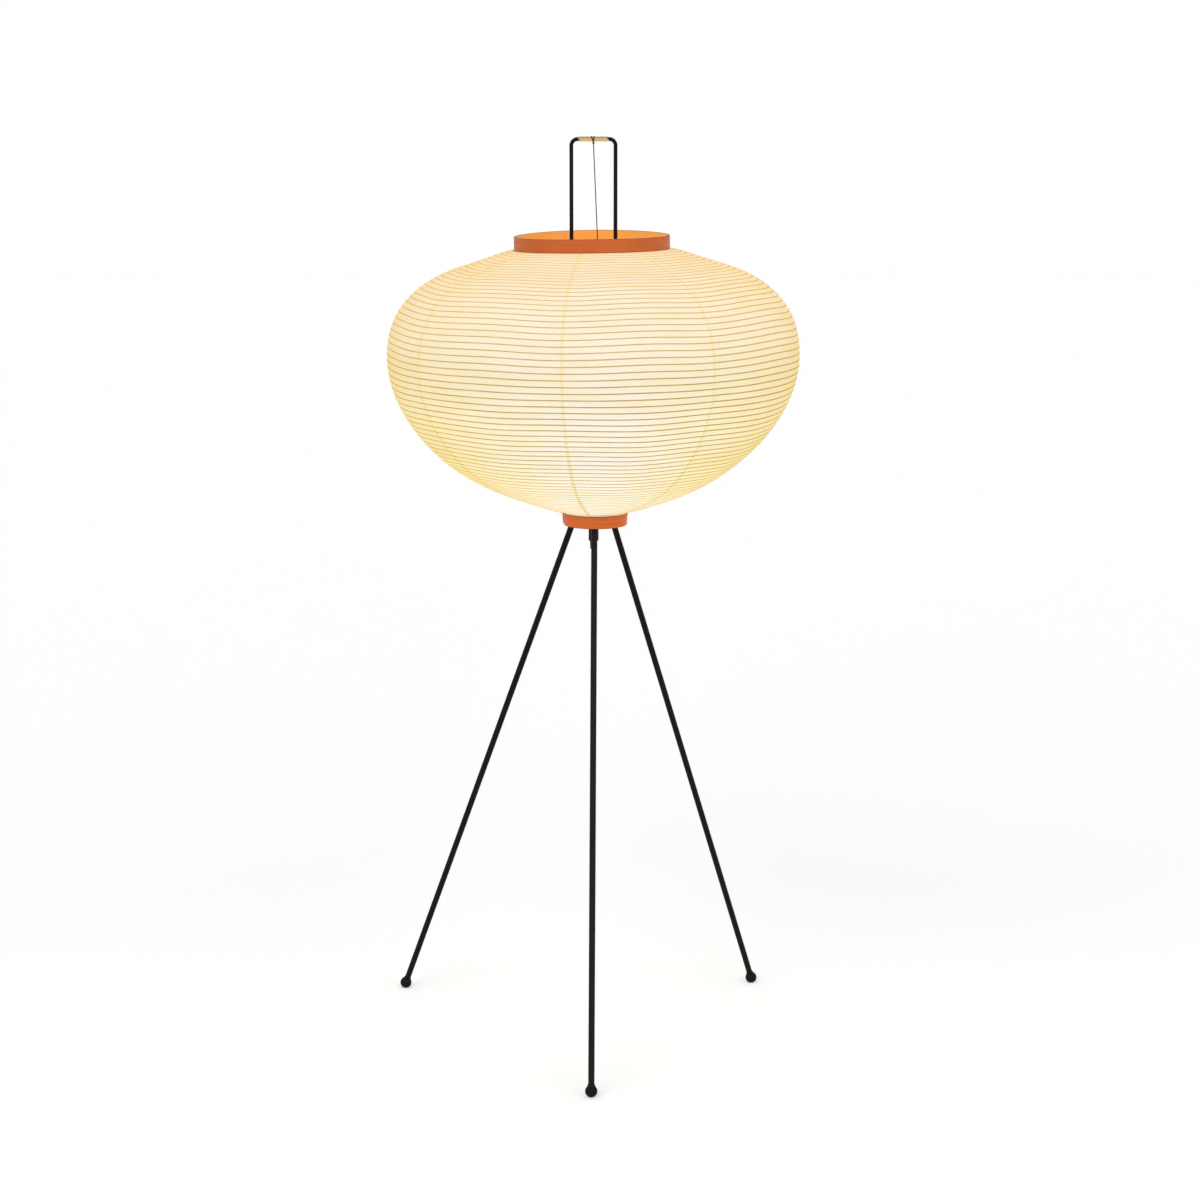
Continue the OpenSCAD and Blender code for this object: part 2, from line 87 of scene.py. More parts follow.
BOWL_H = 200 * MM            # from the lower ring up to the widest place
BOWL_N = 1.85                # fullness of the outline below the widest place
CROWN_N = 2.4                # fullness of the outline above it
LOW_LIP = 2.2 * MM           # paper that is glued down over the lower ring's outer face
TOP_LIP = 0.25 * MM          # paper that is glued up over the upper ring's
LIP_PROUD = 0.2 * MM         # how far out from its ring the outer face of a lip lies
LOW_GLUE = 1.3 * MM          # greatest width of the dark line, glue and painted shadow, along the lower edge
TOP_GLUE = 0.9 * MM          # and along the upper edge
GLUE_FADE = 0.1 * MM         # over which such a dark line ends
SHOULDER = 4.0 * MM          # most that the paper lies below the full outline near the upper ring
SHOULDER_OUT = 58 * MM       # how far out from the ring that is
WAIST = 2.2 * MM             # most that it lies above the full outline near the lower ring
WAIST_OUT = 60 * MM          # how far out from the ring that is
TILT = 0.0125                # how far the shade leans, right side up, in radians
TILT_Z = 885 * MM            # height of the middle of that lean
LEVEL_REACH = 75 * MM        # height over which the lean fades in above the level lower ring
DROOP = 1.5 * MM             # how far the upper ring's sides hang below its held front and back
RIB_TURNS = 69               # turns of the split bamboo that winds up inside the paper
RIB_W = 1.2 * MM             # width of the bamboo along the paper
RIB_T = 1.1 * MM             # its thickness
RIB_GAP = 0.1 * MM           # between it and the paper
PAPER_T = 0.35 * MM
FIRST_SEAM = -99             # azimuth in degrees of the seam nearest the front
SEAM_SHIFTS = [0.8, -2.5, 1.2, -0.8, 0.6, 1.5, -1.0, -0.3]   # how far each seam strays, in degrees
SEAMS = np.radians([FIRST_SEAM + 360 / GORE_COUNT * i + shift
                    for i, shift in enumerate(SEAM_SHIFTS)])
SEAMS = np.append(SEAMS, SEAMS[0] + TURN)
START_SEAM = 4               # the seam at the back, where the bamboo starts. It winds clockwise up
SEAM_W = 3.6 * MM            # width of the strip where two gores overlap
LAP_REACH = 4 * MM           # length beside both rings over which the overlaps grow proud
SAG = 0.45 * MM              # how far the paper hangs in between two turns of bamboo
RIPPLE = 0.5 * MM            # how far a turn of bamboo wanders off its line
DENT = 0.7 * MM              # how far the whole skin sinks in places
SPREAD = 2.8 * MM            # how far the turns spread away from the belly between two seams
BELLY_Z = 875 * MM           # height from which they spread
SPREAD_REACH = 45 * MM       # distance from there at which they are spread by about three quarters
CALM_REACH = 25 * MM         # length beside both rings over which all waves die away


# ---- The shade's surface ----

def make_outline(steps=400):
    """Arc length, radius and height along the shade's outline. Arc length 0 is at the lower ring."""
    def half(ring_r, height, fullness, sign):
        """A superellipse from the widest place to a ring."""
        stretch = height / (1 - (ring_r / SHADE_R) ** fullness) ** (1 / fullness)
        end = math.acos((ring_r / SHADE_R) ** (fullness / 2))
        angle = np.linspace(0, end, steps)
        radius = SHADE_R * np.cos(angle) ** (2 / fullness)
        return radius, SHADE_LOW_Z + BOWL_H + sign * stretch * np.sin(angle) ** (2 / fullness)

    def hump(off_ring, peak):
        """0 at a ring, 1 at peak away from it, and 0 again far off."""
        return (off_ring / peak) ** 2 * np.exp(1 - (off_ring / peak) ** 2)

    bowl_r, bowl_z = half(LOWER_R, BOWL_H, BOWL_N, -1)
    crown_r, crown_z = half(UPPER_R, SHADE_H - BOWL_H, CROWN_N, 1)
    bowl_z = bowl_z + WAIST * hump(bowl_r - LOWER_R, WAIST_OUT)
    crown_z = crown_z - SHOULDER * hump(crown_r - UPPER_R, SHOULDER_OUT)
    low_z, top_z = SHADE_LOW_Z - LOW_LIP, SHADE_TOP_Z + TOP_LIP
    radius = np.concatenate([[LOWER_R + LIP_PROUD], bowl_r[::-1], crown_r[1:], [UPPER_R + LIP_PROUD]])
    height = np.concatenate([[low_z], bowl_z[::-1], crown_z[1:], [top_z]])
    length = np.concatenate([[0], np.cumsum(np.hypot(np.diff(radius), np.diff(height)))])
    return length - length[1], radius, height


OUTLINE_S, OUTLINE_R, OUTLINE_Z = make_outline()
OUTLINE_LENGTH = OUTLINE_S[-2]
RIB_PITCH = OUTLINE_LENGTH / RIB_TURNS
BELLY_S = float(np.interp(BELLY_Z, OUTLINE_Z, OUTLINE_S))


def radius_at(s):
    return np.interp(s, OUTLINE_S, OUTLINE_R)


def height_at(s):
    return np.interp(s, OUTLINE_S, OUTLINE_Z)


def hung(x, y, z):
    """Points of the shade as it really hangs: leaning a little, with its upper sides drooping."""
    share = np.clip((z - SHADE_LOW_Z - BOWL_H) / (SHADE_H - BOWL_H), 0, 1)
    z = z - DROOP * share * x ** 2 / np.maximum(x ** 2 + y ** 2, MM ** 2)
    off_ring = np.clip((z - SHADE_LOW_Z) / LEVEL_REACH, 0, 1)
    lift = TILT * x * off_ring ** 2 * (3 - 2 * off_ring)
    return np.stack([x - TILT * (z - TILT_Z), y, z + lift], axis=-1)


def level(x, y, z):
    """Points of the lower ring, which hangs level and a little to the right."""
    return np.stack([x - TILT * (SHADE_LOW_Z - TILT_Z), y, z], axis=-1)


def on_skin(s, azimuth, depth):
    """Points of the shade: s along the outline, azimuth round it, depth under the outer face."""
    step = 0.3 * MM
    run_r = radius_at(s + step) - radius_at(s - step)
    run_z = height_at(s + step) - height_at(s - step)
    size = np.hypot(run_r, run_z)
    radius = radius_at(s) - depth * run_z / size
    height = height_at(s) + depth * run_r / size
    return hung(radius * np.cos(azimuth), radius * np.sin(azimuth), height)


# Waves round the shade: how many in a turn, phase, how fast the phase drifts upwards, and share
RIPPLES = [(3, 0.4, 9.0, 0.30), (5, 2.1, -14.0, 0.26), (9, 4.0, 22.0, 0.22), (16, 1.2, -31.0, 0.22)]
DENTS = [(4, 1.0, 12.0, 0.4), (7, 2.6, -19.0, 0.35), (11, 0.3, 27.0, 0.25)]


def waves(table, s, azimuth):
    """The sum of a table's waves, from -1 to 1."""
    return sum(share * np.sin(count * azimuth + phase + drift * s)
               for count, phase, drift, share in table)


def ease_at_ends(s, reach=CALM_REACH):
    """0 at the two rings, rising to 1 within reach of them."""
    return np.clip(np.minimum(s, OUTLINE_LENGTH - s) / reach, 0, 1)


def share_of_gore(azimuth):
    """Where an azimuth lies between the seams on both sides of it, from 0 to 1."""
    turned = (azimuth - SEAMS[0]) % TURN + SEAMS[0]
    return np.interp(turned, SEAMS, np.arange(GORE_COUNT + 1)) % 1


def wander(s, azimuth):
    """How far the bamboo strays along the outline. Its turns lie closest together at the seams."""
    between = np.sin(math.pi * share_of_gore(azimuth)) ** 2
    spread = SPREAD * np.tanh((s - BELLY_S) / SPREAD_REACH) * between
    return ease_at_ends(s) * (RIPPLE * waves(RIPPLES, s, azimuth) + spread)


def dent(s, azimuth):
    """How far the skin lies in from its full outline."""
    return ease_at_ends(s) * DENT * 0.5 * (1 + waves(DENTS, s, azimuth))


# ---- Mesh helpers ----

def make_piece(name, points, faces, slot, body, stands_for, attributes=None, crease=40):
    """A mesh that rides on a body, has its slot's finish and replaces the nodes it stands for.

    attributes are values for each point, by name. It is smooth up to edges of crease degrees."""
    mesh = bpy.data.meshes.new(name)
    mesh.from_pydata(np.asarray(points).reshape(-1, 3).tolist(), [], faces)
    for label, values in (attributes or {}).items():
        values = np.asarray(values, np.float32)
        vector = values.ndim > 1 and values.shape[-1] == 3
        layer = mesh.attributes.new(label, "FLOAT_VECTOR" if vector else "FLOAT", "POINT")
        layer.data.foreach_set("vector" if vector else "value", values.ravel())
    mesh.validate()
    mesh.polygons.foreach_set("use_smooth", [True] * len(mesh.polygons))
    mesh.set_sharp_from_angle(angle=math.radians(crease))
    mesh.materials.append(FINISHES[slot])
    piece = bpy.data.objects.new(name, mesh)
    bpy.context.scene.collection.objects.link(piece)
    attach(piece, body)
    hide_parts(*stands_for)
    return piece


def loft_faces(rings, sides):
    """Quads between rings of points that each close on themselves, and a cap on both ends."""
    faces = []
    for ring in range(rings - 1):
        for side in range(sides):
            here, there = ring * sides, (ring + 1) * sides
            after = (side + 1) % sides
            faces.append((here + side, here + after, there + after, there + side))
    faces.append(tuple(reversed(range(sides))))
    faces.append(tuple(range((rings - 1) * sides, rings * sides)))
    return faces


START_SIDE = (0.0, 1.0, 0.3)     # a direction in which no wire of the lamp starts


def sweep(path, radius, sides):
    """Points and faces of a round wire along a path, with its frame carried along without twist."""
    path = np.asarray(path, float)
    tangent = np.gradient(path, axis=0)
    tangent /= np.linalg.norm(tangent, axis=1)[:, None]
    side = np.cross(tangent[0], START_SIDE)
    angle = np.arange(sides)[:, None] * TURN / sides
    rings = []
    for point, along in zip(path, tangent):
        side = side - along * np.dot(side, along)
        side /= np.linalg.norm(side)
        other = np.cross(along, side)
        rings.append(point + radius * (np.cos(angle) * side + np.sin(angle) * other))
    return np.concatenate(rings), loft_faces(len(path), sides)


def along_strip(length, across):
    """The attribute flat of a strip or a splinter: length along it and a value across it."""
    return np.stack([np.stack([length, np.full_like(length, value), 0 * length], axis=-1)
                     for value in across], axis=1)


# ---- Materials. Scales of noise are per metre ----

NOISE_RANGE = (0.3, 0.7)         # what most values of a noise lie between


class Finish:
    """A Principled material and short calls that add nodes to it."""

    def __init__(self, name, **sockets):
        self.material = bpy.data.materials.new(name)
        self.material.use_nodes = True
        self.tree = self.material.node_tree
        self.shader = self.tree.nodes["Principled BSDF"]
        for socket, value in sockets.items():
            self.shader.inputs[socket.replace("_", " ")].default_value = value

    def node(self, kind, **inputs):
        node = self.tree.nodes.new(kind)
        for name, value in inputs.items():
            self.feed(node.inputs[name], value)
        return node

    def feed(self, socket, value):
        if isinstance(value, bpy.types.NodeSocket):
            self.tree.links.new(value, socket)
        else:
            socket.default_value = value

    def place(self):
        return self.node("ShaderNodeTexCoord").outputs["Object"]

    def attribute(self, name, output="Fac"):
        node = self.node("ShaderNodeAttribute")
        node.attribute_name = name
        return node.outputs[output]

    def stretched(self, vector, scale):
        return self.node("ShaderNodeMapping", Vector=vector, Scale=scale).outputs["Vector"]

    def noise(self, vector, scale, detail=3.0, distortion=0.0):
        node = self.node("ShaderNodeTexNoise", Vector=vector, Scale=scale, Detail=detail,
                         Distortion=distortion)
        return node.outputs["Fac"]

    def streaks(self, vector, scales, detail=3.0):
        """Noise with its own scale along each axis."""
        return self.noise(self.stretched(vector, scales), 1.0, detail)

    def strands(self, vector, scale, width):
        """1 on thin wandering lines, such as fibres in paper, and 0 beside them."""
        field = self.noise(vector, scale, detail=1.0, distortion=0.6)
        away = self.combine("ABSOLUTE", self.combine("SUBTRACT", field, 0.5))
        return self.band(away, 0.0, width, 1.0, 0.0)

    def band(self, value, start, end, low=0.0, high=1.0):
        """low before start and high after end, with a smooth change between."""
        node = self.node("ShaderNodeMapRange")
        node.interpolation_type = "SMOOTHSTEP"
        for index, entry in enumerate((value, start, end, low, high)):
            self.feed(node.inputs[index], entry)
        return node.outputs["Result"]

    def combine(self, operation, *values):
        node = self.node("ShaderNodeMath")
        node.operation = operation
        for index, value in enumerate(values):
            self.feed(node.inputs[index], value)
        return node.outputs["Value"]

    def times(self, first, second):
        return self.combine("MULTIPLY", first, second)

    def mix(self, share, first, second, blend="MIX"):
        """Colour first where share is 0 and second, or the two blended, where it is 1."""
        node = self.node("ShaderNodeMix")
        node.data_type = "RGBA"
        node.blend_type = blend
        self.feed(node.inputs["Factor"], share)
        colours = [socket for socket in node.inputs if socket.type == "RGBA"]
        self.feed(colours[0], first)
        self.feed(colours[1], second)
        return next(socket for socket in node.outputs if socket.type == "RGBA")

    def set(self, socket, value):
        self.feed(self.shader.inputs[socket], value)

    def roughness(self, field, smooth, rough):
        """Roughness that follows a noise, from smooth where it is low to rough where it is high."""
        self.set("Roughness", self.band(field, *NOISE_RANGE, smooth, rough))

    def mottle(self, field, dark, light, smooth, rough):
        """Colour and roughness that both follow one noise."""
        self.set("Base Color", self.mix(field, dark, light))
        self.roughness(field, smooth, rough)

    def bump(self, height, distance, strength=0.4):
        node = self.node("ShaderNodeBump", Height=height, Distance=distance, Strength=strength)
        self.set("Normal", node.outputs["Normal"])


def srgb(red, green, blue):
    """A linear colour from one written in 0 to 255."""
    def linear(value):
        share = value / 255
        return share / 12.92 if share <= 0.04045 else ((share + 0.055) / 1.055) ** 2.4
    return (linear(red), linear(green), linear(blue), 1.0)


def black_enamel():
    """Baked enamel on steel: nearly black with a brown cast, and a fine orange-peel surface."""
    finish = Finish("black_enamel", Specular_IOR_Level=0.12)
    place = finish.place()
    cloud = finish.noise(place, 60.0, detail=4.0)
    finish.mottle(cloud, srgb(5, 3, 2), srgb(13, 8, 6), smooth=0.34, rough=0.5)
    finish.bump(finish.noise(place, 900.0, detail=2.0), 0.06 * MM, 0.5)
    return finish.material


def rubber():
    """Grey-black rubber with a fine grain."""
    finish = Finish("rubber", Specular_IOR_Level=0.1)
    place = finish.place()
    cloud = finish.noise(place, 90.0, detail=4.0)
    finish.mottle(cloud, srgb(6, 6, 6), srgb(17, 16, 16), smooth=0.5, rough=0.7)
    finish.bump(finish.noise(place, 1500.0), 0.1 * MM, 0.5)
    return finish.material


def bakelite():
    """Dark brown resin with a faint swirl."""
    finish = Finish("bakelite", Specular_IOR_Level=0.2)
    place = finish.place()
    swirl = finish.noise(place, 70.0, detail=5.0, distortion=1.5)
    finish.mottle(swirl, srgb(18, 11, 9), srgb(38, 25, 20), smooth=0.25, rough=0.42)
    finish.bump(finish.noise(place, 700.0), 0.05 * MM)
    return finish.material


def plated_metal(name, dark, light, smooth, rough):
    """Metal with fine level turning marks and small dull spots."""
    finish = Finish(name, Metallic=1.0)
    place = finish.place()
    marks = finish.streaks(place, (30.0, 30.0, 2500.0), detail=2.0)
    spots = finish.noise(place, 220.0, detail=5.0)
    finish.set("Base Color", finish.mix(spots, dark, light))
    finish.roughness(marks, smooth, rough)
    finish.bump(marks, 0.04 * MM)
    return finish.material


def porcelain():
    """Off-white porcelain with a thin glaze."""
    finish = Finish("porcelain", Coat_Weight=0.5)
    place = finish.place()
    cloud = finish.noise(place, 120.0, detail=4.0)
    finish.mottle(cloud, srgb(214, 208, 192), srgb(236, 232, 222), smooth=0.25, rough=0.4)
    finish.bump(finish.noise(place, 500.0), 0.08 * MM)
    return finish.material


def frosted_glass():
    """The lit bulb's glass, with a white coating inside that glows unevenly."""
    finish = Finish("frosted_glass", Emission_Strength=14.0)
    place = finish.place()
    cloud = finish.noise(place, 80.0)
    finish.mottle(cloud, srgb(235, 232, 225), srgb(250, 248, 244), smooth=0.3, rough=0.45)
    finish.set("Emission Color", finish.mix(cloud, srgb(255, 214, 160), srgb(255, 226, 182)))
    finish.bump(finish.noise(place, 1200.0), 0.04 * MM)
    return finish.material


def spring_wire():
    """Dark annealed iron wire with a brown bloom."""
    finish = Finish("spring_wire", Metallic=0.3, Specular_IOR_Level=0.2)
    place = finish.place()
    bloom = finish.noise(place, 260.0, detail=4.0)
    finish.mottle(bloom, srgb(40, 22, 16), srgb(66, 42, 32), smooth=0.4, rough=0.6)
    finish.bump(finish.noise(place, 1800.0), 0.04 * MM)
    return finish.material


def split_bamboo():
    """Pale split bamboo with fibres along it."""
    finish = Finish("bamboo", Specular_IOR_Level=0.3)
    fibre = finish.streaks(finish.attribute("flat", "Vector"), (8.0, 2600.0, 1.0))
    finish.mottle(fibre, srgb(176, 144, 88), srgb(222, 196, 140), smooth=0.5, rough=0.7)
    finish.bump(fibre, 0.1 * MM, 0.5)
    return finish.material


def cane():
    """Split cane: straw colour, with darker edges and darker fibres. Painted light from the glowing
    shade below makes its underside paler.
    """
    finish = Finish("cane", Specular_IOR_Level=0.4)
    flat = finish.attribute("flat", "Vector")
    fibre = finish.streaks(flat, (60.0, 5000.0, 1.0))
    cloud = finish.noise(flat, 45.0)
    # painted light: the glow of the shade below lightens the cane's underside
    under = finish.band(finish.attribute("under"), 0.1, 0.9)
    dark_fibre = finish.band(fibre, 0.5, 0.75, 0.0, 0.45)
    edge = finish.band(finish.attribute("edge"), 0.55, 1.0, 0.0, 0.75)
    tone = finish.mix(cloud, srgb(172, 138, 86), srgb(190, 156, 102))
    tone = finish.mix(under, tone, srgb(246, 218, 164))
    tone = finish.mix(dark_fibre, tone, srgb(178, 140, 84))
    finish.set("Base Color", finish.mix(edge, tone, srgb(140, 104, 60)))
    finish.roughness(fibre, 0.35, 0.55)
    finish.bump(fibre, 0.1 * MM, 0.5)
    return finish.material


LIT_WOOD = (0.40, 0.23, 0.042, 1)       # the bulb's light on the inner side of the upper ring


def lacquered_wood():
    """Bent wood under terracotta lacquer: grain along the strip, darker edges, bulb light inside."""
    finish = Finish("lacquered_wood", Specular_IOR_Level=0.3, Emission_Strength=1.0)
    flat = finish.attribute("flat", "Vector")
    grain = finish.streaks(flat, (14.0, 900.0, 1.0), detail=4.0)
    pores = finish.streaks(flat, (160.0, 2600.0, 1.0), detail=2.0)
    cloud = finish.noise(flat, 28.0)
    dark_grain = finish.band(grain, 0.42, 0.72, 0.0, 0.4)
    dark_pores = finish.band(pores, 0.6, 0.75, 0.0, 0.3)
    # darker along the strip's edges
    darker_edges = finish.band(finish.attribute("edge"), 0.35, 1.0, 0.0, 0.75)
    tone = finish.mix(cloud, srgb(192, 92, 30), srgb(202, 100, 40))
    # painted light: pale lightens the lacquer to stand in for the light that the shade above keeps off
    # the lower ring
    tone = finish.mix(finish.attribute("pale"), tone, srgb(236, 116, 40))
    tone = finish.mix(dark_grain, tone, srgb(176, 78, 28))
    tone = finish.mix(dark_pores, tone, srgb(154, 64, 24))
    finish.set("Base Color", finish.mix(darker_edges, tone, srgb(128, 70, 38)))
    finish.set("Emission Color", finish.mix(finish.attribute("lamp"), (0, 0, 0, 1), LIT_WOOD))
    finish.roughness(grain, 0.42, 0.6)
    finish.bump(grain, 0.12 * MM, 0.5)
    return finish.material


# The light that comes through the paper at different heights
LIT_BELLY = (0.76, 0.7, 0.545, 1)
LIT_BULB = (0.82, 0.795, 0.69, 1)
LIT_CROWN = (0.87, 0.725, 0.51, 1)
LIT_BOWL = (1.1, 1.09, 0.965, 1)
# Between which shares of the shade's height each of them, and the tint of the sides, sets in or ends
BOWL_ENDS = (0.0, 0.3)
BULB_STARTS = (0.08, 0.26)
BULB_ENDS = (0.34, 0.58)
CROWN_STARTS = (0.55, 1.0)
SIDE_STARTS = (0.0, 0.22)
SIDE_ENDS = (0.15, 1.0)
# What it is multiplied by where the paper is thick, and low down at both sides of the lamp
LIT_THICK = (1, 0.945, 0.8, 1)
LIT_SIDE = (1.03, 0.96, 0.56, 1)
# The light that comes through fibres, two layers of paper and bamboo, and the dark line of glue and
# painted shadow where the paper meets a ring
LIT_FIBRE = (0.62, 0.52, 0.31, 1)
LIT_SEAM = (0.72, 0.56, 0.22, 1)
LIT_RIB_LOW = (0.33, 0.205, 0.02, 1)
LIT_RIB_HIGH = (0.47, 0.355, 0.165, 1)
LIT_GLUE_SHADOW = (0.1, 0.02, 0, 1)
RIB_CHANGES = (0.5, 0.75)        # shares of the height between which LOW gives way to HIGH
RIB_BLUR = (0.42 * MM, 0.98 * MM)       # a rib's shadow fades between these distances from its middle
RIB_SHARES = (0.8, 1.05)         # how fully a rib shows, on its palest and darkest stretches
SEAM_CHANGES = (0.1, 0.6)        # shares of the height between which a seam grows fainter
SEAM_SHARES = (0.56, 0.3)        # how fully it shows below and above
FIBRE_SHARE = 0.4
THREAD_SHARE = 0.36
# The paper's own colour
PAPER_DARK = (0.21, 0.18, 0.175, 1)
PAPER_LIGHT = (0.22, 0.19, 0.185, 1)
PAPER_SEAM = (0.215, 0.175, 0.1, 1)
PAPER_RIB = (0.138, 0.1, 0.042, 1)
# dark brown where the paper meets a ring: glue, and painted shadow under the paper's edge
PAPER_GLUE_SHADOW = (0.27, 0.07, 0.015, 1)


def light_by_height(finish, high):
    """The bulb's light on plain paper, whitest beside the bulb and in the bowl under it."""
    by_bulb = finish.times(finish.band(high, *BULB_STARTS), finish.band(high, *BULB_ENDS, 1.0, 0.0))
    light = finish.mix(by_bulb, LIT_BELLY, LIT_BULB)
    light = finish.mix(finish.band(high, *CROWN_STARTS), light, LIT_CROWN)
    return finish.mix(finish.band(high, *BOWL_ENDS, 1.0, 0.0), light, LIT_BOWL)


def shade_paper():
    """Lit washi: fibres in the sheet, bamboo seen through it, and a double layer at each seam."""
    finish = Finish("shade_paper", Emission_Strength=1.0, Specular_IOR_Level=0.1, Sheen_Weight=0.6,
                    Sheen_Roughness=0.5, Sheen_Tint=(1.0, 0.6, 0.0, 1.0))
    flat = finish.attribute("flat", "Vector")
    high = finish.attribute("high")
    seam = finish.attribute("seam")
    glue = finish.attribute("glue")
    rib = finish.band(finish.attribute("rib"), *RIB_BLUR, 1.0, 0.0)
    fibres = finish.strands(finish.stretched(flat, (1.0, 2.2, 1.0)), 160.0, 0.02)
    threads = finish.strands(finish.stretched(flat, (2.0, 1.0, 1.0)), 90.0, 0.012)
    cloud = finish.noise(flat, 22.0, detail=5.0)

    light = light_by_height(finish, high)
    streak = finish.noise(finish.stretched(flat, (0.35, 1.6, 1.0)), 34.0, detail=4.0)
    light = finish.mix(finish.band(streak, 0.4, 0.7, 0.0, 0.8), light, LIT_THICK, "MULTIPLY")
    light = finish.mix(finish.times(fibres, FIBRE_SHARE), light, LIT_FIBRE)
    light = finish.mix(finish.times(threads, THREAD_SHARE), light, LIT_FIBRE)
    double = finish.times(seam, finish.band(high, *SEAM_CHANGES, *SEAM_SHARES))
    light = finish.mix(double, light, LIT_SEAM)
    uneven = finish.streaks(flat, (26.0, 220.0, 1.0))
    shows = finish.times(finish.attribute("shows"), finish.band(uneven, 0.3, 0.62, *RIB_SHARES))
    lit_rib = finish.mix(finish.band(high, *RIB_CHANGES), LIT_RIB_LOW, LIT_RIB_HIGH)
    light = finish.mix(finish.times(rib, shows), light, lit_rib)
    low_down = finish.times(finish.band(high, *SIDE_STARTS, 0.3, 1.0),
                            finish.band(high, *SIDE_ENDS, 1.0, 0.1))
    light = finish.mix(finish.times(finish.attribute("side"), low_down), light, LIT_SIDE, "MULTIPLY")
    # the dark line where the paper meets a ring: glue, and painted shadow under its edge
    finish.set("Emission Color", finish.mix(glue, light, LIT_GLUE_SHADOW))

    sheet = finish.mix(cloud, PAPER_DARK, PAPER_LIGHT)
    sheet = finish.mix(seam, sheet, PAPER_SEAM)
    sheet = finish.mix(rib, sheet, PAPER_RIB)
    finish.set("Base Color", finish.mix(glue, sheet, PAPER_GLUE_SHADOW))
    finish.roughness(cloud, 0.75, 0.9)
    relief = finish.combine("ADD", finish.times(fibres, 0.5), finish.combine("ADD", threads, cloud))
    finish.bump(relief, 0.12 * MM, 0.5)
    return finish.material


FINISHES = {
    "black_enamel": black_enamel(),
    "rubber": rubber(),
    "bakelite": bakelite(),
    "zinc_plate": plated_metal("zinc_plate", srgb(150, 152, 150), srgb(196, 198, 196), 0.25, 0.45),
    "brass": plated_metal("brass", srgb(176, 132, 66), srgb(206, 166, 92), 0.22, 0.4),
    "porcelain": porcelain(),
    "frosted_glass": frosted_glass(),
    "cane": cane(),
    "spring_wire": spring_wire(),
    "lacquered_wood": lacquered_wood(),
    "bamboo": split_bamboo(),
    "shade_paper": shade_paper(),
}


def finish_cad_nodes():
    """Gives every CAD node that stays visible the procedural finish of its record slot."""
    for part in frame["record"]["subparts"]:
        for entry in frame["nodes"][part["node"]].material_slots:
            entry.material = FINISHES[part["material_slot"]]


# ---- Shade ----

# Rows inside each strip of paper between two turns of bamboo, as shares of its width
ROW_SHARES = [0.0, 0.085, 0.3, 0.7, 0.915]
# Columns of a gore: share of the gore's angle, half seam widths added to it, seam mask, and how far
# the column lies outside the skin in mm. A gore starts under its neighbour and ends over the next.
AFTER_SEAM = 1.25
BEFORE_SEAM = 1.3
START_COLUMNS = [(0, -0.9, 1, 0), (0, 0, 1, 0), (0, 0.95, 1, 0), (0, AFTER_SEAM, 0, 0)]
END_COLUMNS = [(1, -BEFORE_SEAM, 0, 0), (1, -1, 0.6, 0.15), (1, -0.75, 1, 0.4), (1, 0, 1, 0.4),
               (1, 1, 1, 0.4)]
INNER_COLUMNS = 14
OWN_NOISE = 0.37             # moves the noise on from gore to gore, so that no two look alike


def gore_columns():
    shares = (np.arange(INNER_COLUMNS) + 1) / (INNER_COLUMNS + 1)
    inner = [(share, AFTER_SEAM - (AFTER_SEAM + BEFORE_SEAM) * share, 0, 0) for share in shares]
    return np.array(START_COLUMNS + inner + END_COLUMNS, float)


def turns_across(index, share):
    """Arc lengths at which the bamboo crosses a gore's columns, between those of its two ends."""
    start, end = SEAMS[index], SEAMS[index + 1]
    past_start = TURN if index >= START_SEAM else 0
    # Share of its first turn that the bamboo has made when it comes to each column
    made = (SEAMS[START_SEAM] + past_start - end + (end - start) * (1 - share)) / TURN
    turns = RIB_PITCH * (np.arange(RIB_TURNS)[:, None] + made)
    lowest, highest = np.zeros(len(share)), np.full(len(share), OUTLINE_LENGTH)
    return np.clip(np.vstack([lowest, turns, highest]), 0, OUTLINE_LENGTH)


def gore_rows(turns, ragged):
    """A gore's rows from its lower to its upper edge. ragged is how wide its dark lines of glue and
    painted shadow along the rings are, 0 to 1.

    Returns arc length, distance from the nearest turn of bamboo, sag, and 1 on those dark lines."""
    none = np.zeros(turns.shape[1])
    skin = []
    for low, high in zip(turns[:-1], turns[1:]):
        width = high - low
        for share in ROW_SHARES:
            sag = 4 * share * (1 - share) * np.minimum(1, width / RIB_PITCH)
            skin.append((low + share * width, min(share, 1 - share) * width, SAG * sag, none))

    top = turns[-1]
    low_end = LOW_GLUE * (0.7 + 0.3 * ragged) - LOW_LIP
    top_start = top - TOP_GLUE * ragged
    low_edge = [(none - LOW_LIP, 1), (low_end, 1), (low_end + GLUE_FADE, 0)]
    top_edge = [(top_start - GLUE_FADE, 0), (top_start, 1), (top, 1), (top + TOP_LIP, 1)]
    low_rows, top_rows = ([(s, none + RIB_W, none, none + glue) for s, glue in edge]
                          for edge in (low_edge, top_edge))
    rows = low_rows + skin + top_rows
    return (np.array([row[part] for row in rows]) for part in range(4))


